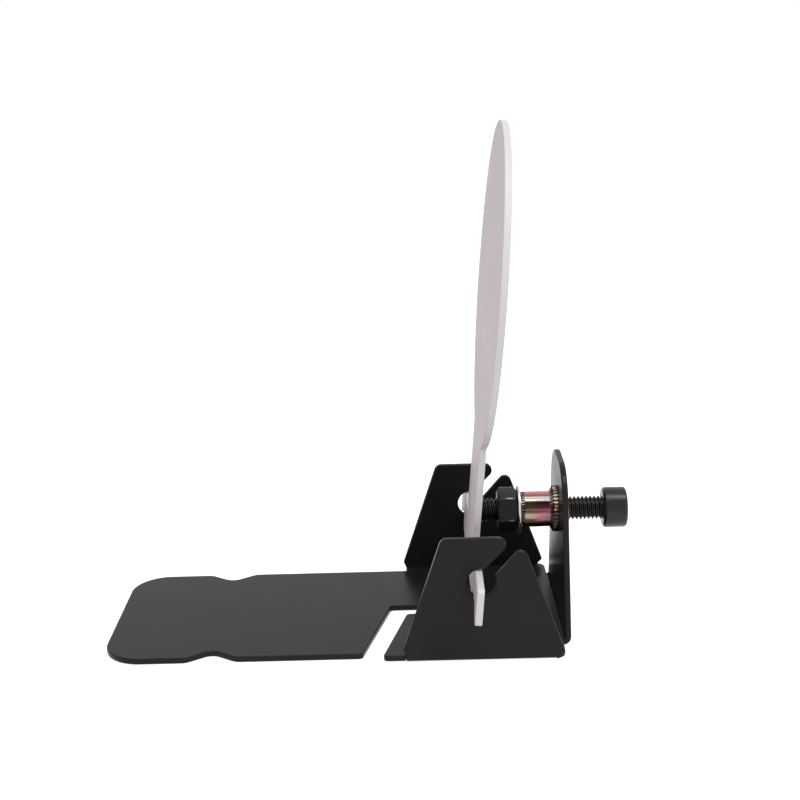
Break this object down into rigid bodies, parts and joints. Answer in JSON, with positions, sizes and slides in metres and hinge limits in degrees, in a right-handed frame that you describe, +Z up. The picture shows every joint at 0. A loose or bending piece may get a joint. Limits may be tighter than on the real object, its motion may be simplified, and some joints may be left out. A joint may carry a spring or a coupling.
{
  "type": "knock-down round target",
  "caption": "Round steel target standing in a folded sheet-metal base, propped by an adjusting screw so that a light hit tips it over onto the long front plate.",
  "frame": {"origin": "on the underside of the base, midway between the ears, straight below the axis about which the target tips", "axes": "+X to the rear, along the adjusting screw to its head; -X to the front, where the target falls; +Z up, out of the base; +Y to the left of a viewer who looks along -X"},
  "size_m": [0.1305, 0.08, 0.1251],
  "materials": {
    "base_powder_coat": "satin",
    "target_paint": "matte",
    "black_screw_steel": "satin",
    "yellow_zinc": "satin",
    "bright_zinc": "satin"
  },
  "bodies": {
    "base": {"base_frame": "base_powder_coat", "rivet_nut": "yellow_zinc"},
    "target": {"target_plate": "target_paint"},
    "screw": {"adjusting_screw": "black_screw_steel"},
    "lock": {"lock_nut": "black_screw_steel", "lock_washer": "bright_zinc"}
  },
  "joints": [
    {"name": "target_tip", "type": "hinge", "parent": "base", "child": "target", "pos_m": [0, 0, 0.0199], "axis": [0, -1, 0], "range_deg": [0, 104.8]},
    {"name": "screw_travel", "type": "slide", "parent": "base", "child": "screw", "axis": [1, 0, 0], "range_m": [0, 0.004]},
    {"name": "lock_nut_travel", "type": "slide", "parent": "base", "child": "lock", "axis": [-1, 0, 0], "range_m": [0, 0.0035]}
  ]
}
